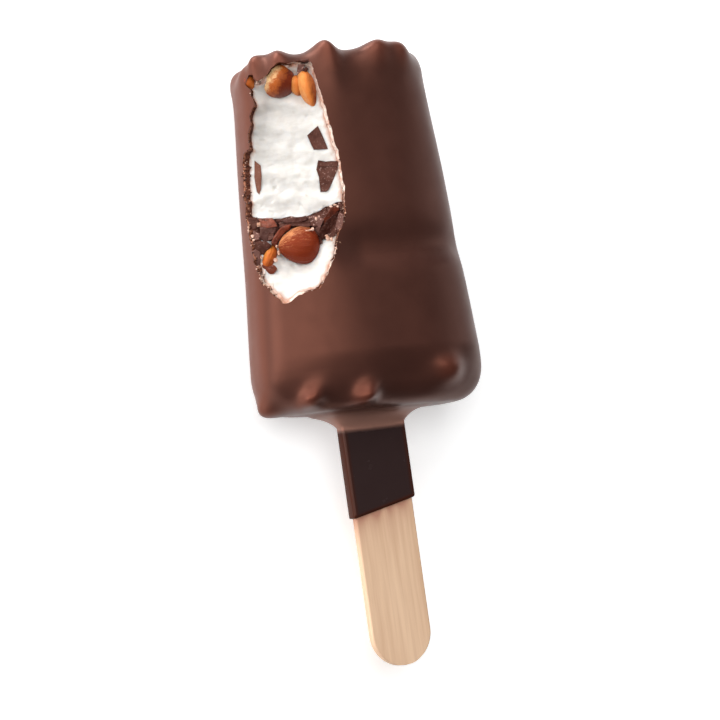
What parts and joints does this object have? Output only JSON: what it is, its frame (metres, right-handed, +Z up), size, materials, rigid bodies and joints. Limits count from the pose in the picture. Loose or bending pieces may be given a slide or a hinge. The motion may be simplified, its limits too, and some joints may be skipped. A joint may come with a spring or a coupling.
{
  "type": "ice cream bar",
  "caption": "Vanilla ice cream bar on a flat wooden stick, coated in milk chocolate over almonds, lying on its back with a long bite out of one front edge.",
  "frame": {"origin": "centre of the footprint, on the surface the bar lies on", "axes": "+Y along the bar from the stick to the top, +Z up out of the bar's front face, +X to the bar's right seen from the front with the top up"},
  "size_m": [0.0574, 0.1428, 0.0284],
  "materials": {
    "chocolate_coating": "semi-gloss milk chocolate, lighter and redder where it is thin over a lump",
    "ice_cream": "matt frozen vanilla, finely torn at the bite",
    "dark_chocolate": "dark chocolate with broken, slightly dull faces",
    "almond": "roasted almond skin with fine ridges along its length",
    "stick": "bare pale birch with fine straight grain"
  },
  "bodies": {
    "root": {"stick": "stick", "chocolate_coating": "chocolate_coating", "ice_cream_upper": "ice_cream", "ice_cream_lower": "ice_cream", "chocolate_band": "dark_chocolate", "almond_top_left": "almond", "almond_top_right": "almond", "almond_edge": "almond", "almond_middle": "almond", "almond_left": "almond", "chunk_right_upper": "dark_chocolate", "chunk_right_lower": "dark_chocolate", "chunk_left": "dark_chocolate", "chunk_top": "dark_chocolate"}
  },
  "joints": []
}
